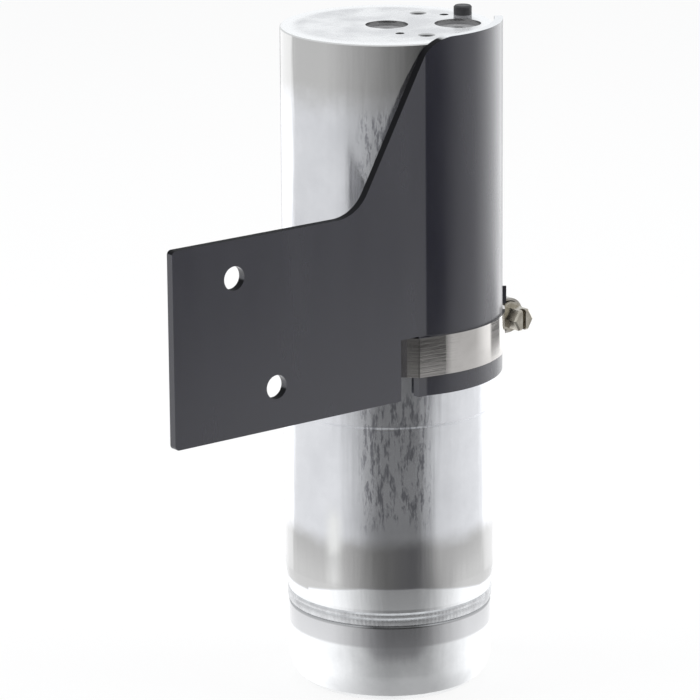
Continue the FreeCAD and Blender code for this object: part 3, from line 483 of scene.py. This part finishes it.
def pressed_steel(name, light, dark):
    """Rolled steel sheet or wire."""
    s = Shader(name)
    rolling = s.noise(s.scaled(s.position(), 30, 900, 200), detail=3)
    return s.surface(
        Base_Color=s.mix(rolling, light, dark), Metallic=1.0,
        Roughness=s.spread(rolling, 0.3, 0.7, 0.28, 0.42), Normal=s.bump(rolling, 0.01 * MM),
    )


# Inner pieces, seen only when the can is opened

MESH_THREADS = 60.0
MESH_PITCH = 0.6 * MM


def moulded(name, light, dark, rough, grain_scale, translucent=0.0):
    """Moulded plastic or rubber with faint flow marks."""
    s = Shader(name)
    place = s.position()
    grain = s.noise(place, scale=grain_scale, detail=4, roughness=0.6)
    flow = s.noise(s.scaled(place, 40, 40, 12), detail=3)
    return s.surface(
        Base_Color=s.mix(flow, light, dark), Subsurface_Weight=translucent,
        Roughness=s.spread(grain, 0.3, 0.7, rough, rough + 0.12),
        Normal=s.bump(grain, 0.02 * MM),
    )


def felt():
    """Matted fibres."""
    s = Shader("felt")
    fibres = s.noise(s.position(), scale=900, detail=6, roughness=0.8, distortion=1.5)
    return s.surface(
        Base_Color=s.mix(fibres, (0.62, 0.60, 0.53), (0.84, 0.82, 0.76)), Roughness=0.95,
        Normal=s.bump(fibres, 0.25 * MM), Sheen_Weight=0.3,
    )


def desiccant():
    """Packed beads, each of its own tone."""
    s = Shader("desiccant")
    beads = s.node("ShaderNodeTexVoronoi")
    s.feed(beads.inputs["Vector"], s.position())
    s.feed(beads.inputs["Scale"], 520)
    tone = s.split(beads.outputs["Color"])[0]
    return s.surface(
        Base_Color=s.mix(tone, (0.62, 0.50, 0.36), (0.78, 0.68, 0.53)), Roughness=0.8,
        Normal=s.bump(s.fall(beads.outputs["Distance"], 0.0, 0.7), 0.8 * MM),
    )


def mesh_plastic():
    """Woven threads, upright and round the sleeve."""
    s = Shader("mesh_plastic")
    x, y, z = s.split(s.position())
    warp = s.math("SINE", s.times(s.math("ARCTAN2", y, x), MESH_THREADS))
    weft = s.math("SINE", s.times(z, math.pi / MESH_PITCH))
    weave = s.larger(s.math("ABSOLUTE", warp), s.math("ABSOLUTE", weft))
    return s.surface(
        Base_Color=s.mix(weave, (0.45, 0.44, 0.40), (0.86, 0.85, 0.80)), Roughness=0.55,
        Normal=s.bump(weave, 0.15 * MM),
    )


FINISHES = {
    "canister_body": can_metal(),
    "bottom_cap": cap_metal(),
    "weld_bead": weld_metal(),
    "locating_peg": peg_plastic(),
    "mounting_bracket": bracket_coating(),
    "clamp_band": band_steel(),
    "clamp_housing": housing_steel(),
    "clamp_plate": pressed_steel("clamp_plate_steel", (0.66, 0.64, 0.61), (0.52, 0.50, 0.47)),
    "clamp_screw": screw_steel(),
    "dip_tube": moulded("tube_plastic", (0.74, 0.72, 0.63), (0.66, 0.63, 0.54), 0.4, 900, 0.1),
    "dip_tube_o_ring": moulded("ring_rubber", (0.02, 0.09, 0.04), (0.03, 0.12, 0.06), 0.5, 1400),
    "strainer_frame": moulded(
        "strainer_plastic", (0.82, 0.81, 0.75), (0.74, 0.72, 0.66), 0.4, 900, 0.1
    ),
    "strainer_mesh": mesh_plastic(),
    "desiccant_bed": desiccant(),
    "pack_spring": pressed_steel("spring_steel", (0.38, 0.37, 0.36), (0.28, 0.27, 0.26)),
}
RETAINER = pressed_steel("retainer_steel", (0.62, 0.62, 0.62), (0.50, 0.50, 0.50))
FELT = felt()
for where in ("upper", "lower"):
    FINISHES[where + "_retainer_plate"] = RETAINER
    FINISHES[where + "_filter_pad"] = FELT

for name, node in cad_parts.items():
    if not node.material_slots:
        node.data.materials.append(FINISHES[name])
    for slot in node.material_slots:
        slot.material = FINISHES[name]


# Floor, studio card and lamps

FLOOR_HALF = 6.0
FLOOR_SHADOW = 0.15
FLOOR_TONE = (0.9, 0.9, 0.9)
WORLD_TINT = (0.96, 0.98, 1.0)
WORLD_FILL = 0.55


def seen_white(s):
    """1 for what the camera, mirrors and glass see of the floor and the world."""
    path = s.node("ShaderNodeLightPath").outputs
    seen = s.larger(path["Is Camera Ray"], path["Is Glossy Ray"])
    return s.larger(seen, path["Is Transmission Ray"])


def floor_material():
    """White paper that keeps a part of the object's shadow."""
    s = Shader("floor")
    paper = s.node("ShaderNodeBsdfDiffuse")
    s.feed(paper.inputs["Color"], FLOOR_TONE)
    glow = s.node("ShaderNodeEmission")
    blend = s.node("ShaderNodeMixShader")
    s.feed(blend.inputs[0], s.times(seen_white(s), 1.0 - FLOOR_SHADOW))
    s.link(paper.outputs[0], blend.inputs[1])
    s.link(glow.outputs[0], blend.inputs[2])
    return s.shown(blend.outputs[0])


def studio_world():
    """White where it is seen, and dimmer as light on the object."""
    s = Shader("studio", "World")
    background = s.node("ShaderNodeBackground")
    s.feed(background.inputs["Color"], WORLD_TINT)
    s.feed(background.inputs["Strength"], s.between(seen_white(s), WORLD_FILL, 1.0))
    return s.shown(background.outputs[0])


def flat_object(name, spots, faces, material):
    """A flat thing of the studio, which is no part of the object."""
    mesh = bpy.data.meshes.new(name)
    mesh.from_pydata(spots, [], faces)
    mesh.materials.append(material)
    thing = bpy.data.objects.new(name, mesh)
    bpy.context.scene.collection.objects.link(thing)
    return thing


flat_object(
    "floor",
    [
        (-FLOOR_HALF, -FLOOR_HALF, 0), (FLOOR_HALF, -FLOOR_HALF, 0),
        (FLOOR_HALF, FLOOR_HALF, 0), (-FLOOR_HALF, FLOOR_HALF, 0),
    ],
    [(0, 1, 2, 3)],
    floor_material(),
)
bpy.context.scene.world = studio_world()

# The glowing card lies just above the floor, and only mirror-like surfaces see it. A spot at the
# height z on the can's wall mirrors it at a reach of about 0.038 + 3.68 z from the axis, at twice
# the spot's own turn from the side of the camera. Reaches are in metres, turns in degrees.
CARD_HEIGHT = 0.0015
CARD_INNER = 0.033
CARD_OUTER = 5.5
CARD_SIDES = 96
CARD_TINT = (0.985, 0.99, 1.0)

# Reaches at which one zone of the card fades into the next
FOOT_FADE = (0.05, 0.115)
PANEL_FADE = (0.12, 0.16)
NEAR_FADE = (0.172, 0.198)
BAND_FADE = (0.46, 0.50)
HIGH_FADE = (0.57, 0.61)
TOP_FADE = (0.80, 0.92)

# Bright panels at both sides, a grey line behind them, and a shade on the right panel
PANEL_TONE = 1.3
PANEL_LEFT = (-163, -122)
PANEL_RIGHT_FADE = (112, 118)
REAR_LINE_TONE = 0.78
REAR_LEFT_FADE = (-167, -163)
REAR_RIGHT_FADE = (168, 172)
SHADE_TONE = 0.15
SHADE_TURN = (117, 139)
SHADE_REACH = (0.49, 0.568)


def card_tone(s, turn, reach):
    """White ground near the object, a dark room before it, pale walls beside it and bright
    panels behind it at both sides."""

    def valley(left, dark, right):
        """A dark sector between two walls, each given by where it fades and by its tone."""
        left_from, left_to, left_tone = left
        right_from, right_to, right_tone = right
        fading = s.spread(turn, left_from, left_to, left_tone, dark, smooth=True)
        return s.between(s.rise(turn, right_from, right_to, smooth=True), fading, right_tone)

    near = valley((-68, 0, 1.08), 0.19, (22, 88, 1.08))
    near = s.plus(near, s.spread(reach, *FOOT_FADE, 0.24, 0.0))
    middle = valley((-62, -4, 0.84), 0.19, (26, 58, 0.71))
    middle = s.plus(middle, s.spread(turn, 62, 112, 0.0, 0.19))
    band = valley((-70, -42, 0.84), 0.045, (56, 62, 0.70))
    high = valley((-54, -14, 0.75), 0.105, (50, 84, 0.61))
    top = s.spread(turn, -68, 32, 0.76, 0.11)
    top = s.between(s.rise(turn, 50, 84, smooth=True), top, 0.62)
    far = s.spread(reach, *HIGH_FADE, band, high)
    far = s.spread(reach, *TOP_FADE, far, top)
    beside = s.spread(turn, 92, 136, 0.0, 1.6)
    far = s.plus(far, s.between(s.rise(turn, 154, 162), beside, 0.35))
    tone = s.spread(reach, *NEAR_FADE, near, middle)
    tone = s.spread(reach, *BAND_FADE, tone, far)

    panel_right = s.times(s.rise(turn, *PANEL_RIGHT_FADE), s.fall(reach, *BAND_FADE))
    panels = s.larger(s.zone(turn, *PANEL_LEFT, 1.0), panel_right)
    tone = s.between(s.times(panels, s.rise(reach, *PANEL_FADE)), tone, PANEL_TONE)

    rear_right = s.times(s.rise(turn, *REAR_RIGHT_FADE), s.fall(reach, *PANEL_FADE))
    rear_line = s.larger(s.fall(turn, *REAR_LEFT_FADE), rear_right)
    tone = s.between(rear_line, tone, REAR_LINE_TONE)

    shade = s.times(s.zone(turn, *SHADE_TURN, 2.0), s.zone(reach, *SHADE_REACH, 0.006))
    return s.between(shade, tone, SHADE_TONE)


def card_material():
    """What the mirror-like surfaces see of the studio."""
    s = Shader("studio_card")
    place = s.position()
    forward = s.along(place, FRONT)
    sideways = s.along(place, RIGHT)
    turn = s.times(s.math("ARCTAN2", sideways, forward), 180 / math.pi)
    glow = s.node("ShaderNodeEmission")
    s.feed(glow.inputs["Color"], CARD_TINT)
    s.feed(glow.inputs["Strength"], card_tone(s, turn, s.length(forward, sideways)))
    return s.shown(glow.outputs[0])


def ring_mesh(inner, outer, height, sides):
    """Corners and faces of a flat ring about the can's axis."""
    spots = []
    faces = []
    for index in range(sides):
        turn = 2 * math.pi * index / sides
        for radius in (inner, outer):
            spots.append((radius * math.cos(turn), radius * math.sin(turn), height))
        here = 2 * index
        after = (here + 2) % (2 * sides)
        faces.append((here, here + 1, after + 1, after))
    return spots, faces


card = flat_object(
    "studio_card", *ring_mesh(CARD_INNER, CARD_OUTER, CARD_HEIGHT, CARD_SIDES), card_material()
)
card.visible_camera = False
card.visible_diffuse = False
card.visible_shadow = False
card.visible_transmission = False


def softbox(name, direction, distance, height, width, power):
    """A soft area light that faces the middle of the can and that no mirror shows."""
    light = bpy.data.lights.new(name, "AREA")
    light.shape = "RECTANGLE"
    light.size = width
    light.size_y = width
    light.energy = power
    place = direction.normalized() * distance
    place.z = height
    aim = Vector((0, 0, CAN_TOP / 2)) - place
    lamp = bpy.data.objects.new(name, light)
    lamp.location = place
    lamp.rotation_euler = aim.to_track_quat("-Z", "Y").to_euler()
    lamp.visible_glossy = False
    bpy.context.scene.collection.objects.link(lamp)


softbox("left_box", FRONT * 0.15 - RIGHT, distance=1.2, height=1.0, width=0.9, power=9.0)
softbox("right_box", FRONT * 0.1 + RIGHT, distance=1.2, height=1.0, width=0.9, power=9.0)
softbox("top_box", -FRONT, distance=0.4, height=1.8, width=1.2, power=10.0)


def make_camera():
    """The photograph's camera, aimed at a spot beside the can's axis."""
    data = bpy.data.cameras.new("camera")
    data.lens = CAMERA_LENS
    data.sensor_width = CAMERA_SENSOR
    up = TO_CAMERA.cross(RIGHT)
    right_axis = RIGHT * math.cos(CAMERA_ROLL) - up * math.sin(CAMERA_ROLL)
    up_axis = RIGHT * math.sin(CAMERA_ROLL) + up * math.cos(CAMERA_ROLL)
    axes = Matrix((right_axis, up_axis, TO_CAMERA)).transposed()
    aim = RIGHT * CAMERA_AIM_RIGHT + Vector((0, 0, CAMERA_AIM_HEIGHT))
    camera = bpy.data.objects.new("camera", data)
    camera.matrix_world = Matrix.Translation(aim + TO_CAMERA * CAMERA_DISTANCE) @ axes.to_4x4()
    bpy.context.scene.collection.objects.link(camera)
    bpy.context.scene.camera = camera


make_camera()
bpy.context.scene.view_settings.view_transform = "Standard"
